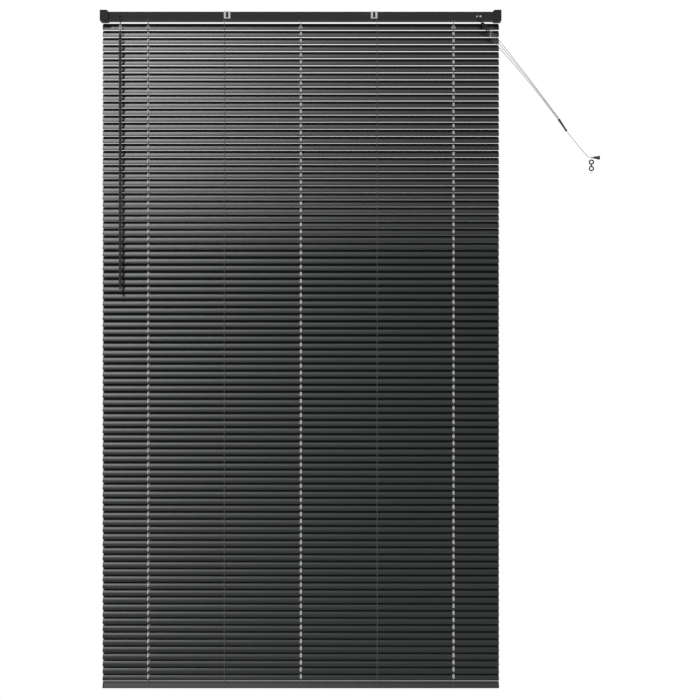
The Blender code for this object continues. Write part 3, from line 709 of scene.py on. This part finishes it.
# Headrail fittings


def make_fittings(materials):
    front = RAIL_LOW.y
    rolls = (
        ("top", RAIL_LOW.x + ROLL_END_ROOM, RAIL_HIGH.x - ROLL_END_ROOM, RAIL_HIGH.z - ROLL_INSET),
        ("bottom", -LOCK_X + ROLL_TILTER_ROOM, LOCK_X - ROLL_LOCK_ROOM, RAIL_LOW.z + ROLL_INSET),
    )
    for name, left, right, z in rolls:
        line = [(left, front, z), (right, front, z)]
        edge = mesh_wire(f"headrail_{name}_roll", line, ROLL_RADIUS, materials["paint"])
        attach(edge, "root")
    studs = ((-0.0105, 0.0025), (0.0, 0.0034))
    for number, (shift, radius) in enumerate(studs, 1):
        place = Vector((LOCK_X + shift, front + STUD_SEAT, RAIL_LOW.z + STUD_HEIGHT))
        dome = [(0, -STUD_SEAT), (radius, -STUD_SEAT), (radius, 0.0005), (0.8 * radius, 0.0011), (0, 0.0014)]
        stud = turned(f"lock_stud_{number}", dome, place, place - Vector((0, 1, 0)), materials["white"], 24)
        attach(stud, "root")
    for number, x in enumerate(LIFT_CORDS, 1):
        turn = Matrix.Rotation(CLOSED_TILT, 4, "X")
        axis = Vector((x, AXIS_Y, FOOT_Z))
        down = turn @ Vector((0, 0, -1))
        place = axis + down * PLUG_DROP
        button = [(0, -0.0004), (0.0044, -0.0004), (0.0046, 0.0004), (0.004, 0.001)]
        button += [(0.0012, 0.0012), (0, 0.0008)]
        plug = turned(f"rail_plug_{number}", button, place, place + down, materials["plastic"], 28)
        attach(plug, "rail")


def dress_nodes(materials):
    """The solids whose shape is right keep it and take a finished material."""
    finishes = {
        "paint": ("headrail", "bottom_rail"),
        "bracket": ("left_bracket", "right_bracket", "left_bracket_door", "right_bracket_door"),
        "plastic": ("left_rail_cap", "right_rail_cap", "cord_lock", "tilter_housing"),
        "wand": ("wand",),
        "pale": ("left_clip", "right_clip", "wand_link"),
        "black_stem": ("tilter_worm",),
        "white": ("tilter_gear",),
        "steel": ("tilt_rod", "lock_roller"),
        "cord": ("lift_cord_knot", "cord_tails"),
    }
    for number in LADDER_NUMBERS:
        finishes["white"] += (f"ladder_drum_{number}", f"cradle_{number}")
    for finish, names in finishes.items():
        for name in names:
            node = frame["nodes"][name]
            node.data.materials.clear()
            node.data.materials.append(materials[finish])


# Stage and light


def make_stage():
    data = bpy.data.meshes.new("floor")
    bm = bmesh.new()
    bmesh.ops.create_grid(bm, x_segments=1, y_segments=1, size=1)
    bmesh.ops.transform(bm, matrix=Matrix.Diagonal((*FLOOR_HALF, 1, 1)), verts=bm.verts)
    bm.to_mesh(data)
    bm.free()
    floor = bpy.data.objects.new("floor", data)
    floor.location = FLOOR_PLACE
    bpy.context.scene.collection.objects.link(floor)
    material = bpy.data.materials.new("pale_floor")
    material.use_nodes = True
    shader = material.node_tree.nodes["Principled BSDF"]
    shader.inputs["Base Color"].default_value = (0.8, 0.8, 0.79, 1)
    shader.inputs["Roughness"].default_value = 0.7
    data.materials.append(material)


def make_world():
    """White to look at, and dimmer as a light, so that the black stays black."""
    world = bpy.data.worlds.new("studio")
    bpy.context.scene.world = world
    world.use_nodes = True
    tree = world.node_tree
    background = tree.nodes["Background"]
    path = tree.nodes.new("ShaderNodeLightPath")
    strength = tree.nodes.new("ShaderNodeMapRange")
    strength.inputs["To Min"].default_value = WORLD_AS_LIGHT
    strength.inputs["To Max"].default_value = WORLD_AS_SEEN
    tree.links.new(path.outputs["Is Camera Ray"], strength.inputs["Value"])
    tree.links.new(strength.outputs["Result"], background.inputs["Strength"])
    background.inputs["Color"].default_value = (1, 1, 1, 1)


def add_sun(name, elevation, azimuth, strength, spread):
    data = bpy.data.lights.new(name, "SUN")
    data.energy = strength
    data.angle = math.radians(spread)
    sun = bpy.data.objects.new(name, data)
    bpy.context.scene.collection.objects.link(sun)
    up, turn = math.radians(elevation), math.radians(azimuth)
    towards = Vector((math.cos(up) * math.sin(turn), -math.cos(up) * math.cos(turn), math.sin(up)))
    sun.rotation_euler = towards.to_track_quat("Z", "Y").to_euler()


def make_lights():
    make_world()
    add_sun("key", elevation=62, azimuth=-24, strength=0.8, spread=9)
    add_sun("low", elevation=45, azimuth=-24, strength=0.75, spread=9)


make_camera()
MATERIALS = {
    "slat": slat_material(),
    "paint": painted_material("headrail_black", (0.011, 0.011, 0.0115), (0.016, 0.016, 0.0165)),
    "bracket": painted_material("bracket_black", (0.005, 0.005, 0.0055), (0.008, 0.008, 0.0085)),
    "sleeve": moulded_material("sleeve_grey", (0.05, 0.05, 0.05), (0.08, 0.08, 0.08), 0.5),
    "plastic": moulded_material("black_plastic", (0.012, 0.012, 0.013), (0.018, 0.018, 0.019), 0.4),
    "wand": moulded_material("wand_black", (0.022, 0.024, 0.025), (0.032, 0.034, 0.036), 0.32),
    "black_stem": moulded_material("stem_black", (0.012, 0.012, 0.013), (0.02, 0.02, 0.021), 0.4),
    "pale": moulded_material("pale_grey_plastic", (0.62, 0.63, 0.63), (0.72, 0.73, 0.73), 0.45),
    "bush": moulded_material("bush_grey", (0.3, 0.31, 0.31), (0.4, 0.41, 0.41), 0.5),
    "white": moulded_material("white_nylon", (0.66, 0.66, 0.64), (0.76, 0.76, 0.74), 0.5),
    "steel": steel_material(),
    # The first colour of each cord is painted shade for the valleys of its braid.
    "cord": cord_material("pale_cord", (0.3, 0.3, 0.3), (0.62, 0.62, 0.62)),
    "pull": cord_material("pull_cord", (0.09, 0.09, 0.09), (0.2, 0.2, 0.2)),
    "thread": cord_material("ladder_thread", (0.1, 0.1, 0.1), (0.22, 0.22, 0.22)),
}
make_pull_cords(MATERIALS)
make_slats(MATERIALS)
make_ladders(MATERIALS)
make_lift_cords(MATERIALS)
make_cleat(MATERIALS)
make_fittings(MATERIALS)
dress_nodes(MATERIALS)
make_stage()
make_lights()
bpy.context.scene.view_settings.view_transform = "Standard"
